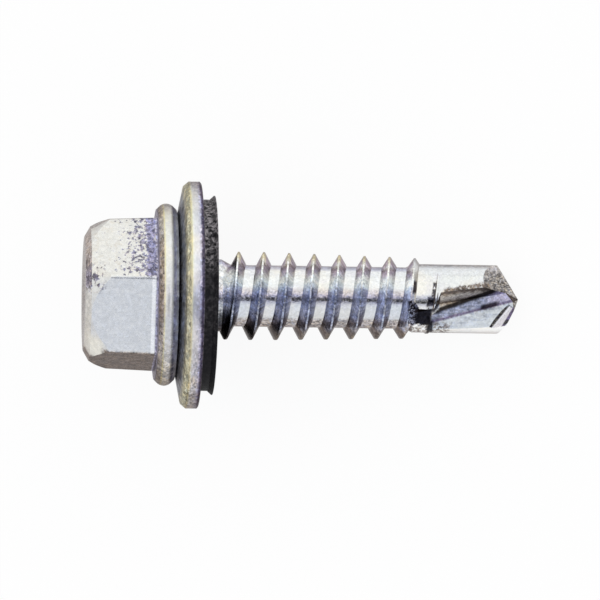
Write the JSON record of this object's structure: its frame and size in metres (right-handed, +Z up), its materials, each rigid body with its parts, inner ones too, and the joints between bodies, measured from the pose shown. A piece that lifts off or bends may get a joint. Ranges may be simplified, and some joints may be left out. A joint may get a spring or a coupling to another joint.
{
  "type": "self-drilling hex washer head screw",
  "caption": "Self-drilling screw with a hexagon washer head, coarse left-hand thread, fluted drill point and a captive bonded sealing washer that turns on its shank.",
  "frame": {"origin": "middle of the lying screw's footprint, on the floor that it rests on", "axes": "+X along the floor from the head towards the drill point, +Z up; the screw's own axis lies above X and leans down towards the point"},
  "size_m": [0.031, 0.0162, 0.0158],
  "materials": {
    "zinc_plated_steel": "satin",
    "zinc_plated_washer": "satin",
    "seal_rubber": "matte"
  },
  "bodies": {
    "screw": {"screw": "zinc_plated_steel"},
    "sealing_washer": {"steel_washer": "zinc_plated_washer", "rubber_seal": "seal_rubber"}
  },
  "joints": [
    {"name": "washer_spin", "type": "hinge", "parent": "screw", "child": "sealing_washer", "pos_m": [-0.00698, 0, 0.00791], "axis": [0.9609, 0, -0.2768], "continuous": true}
  ]
}
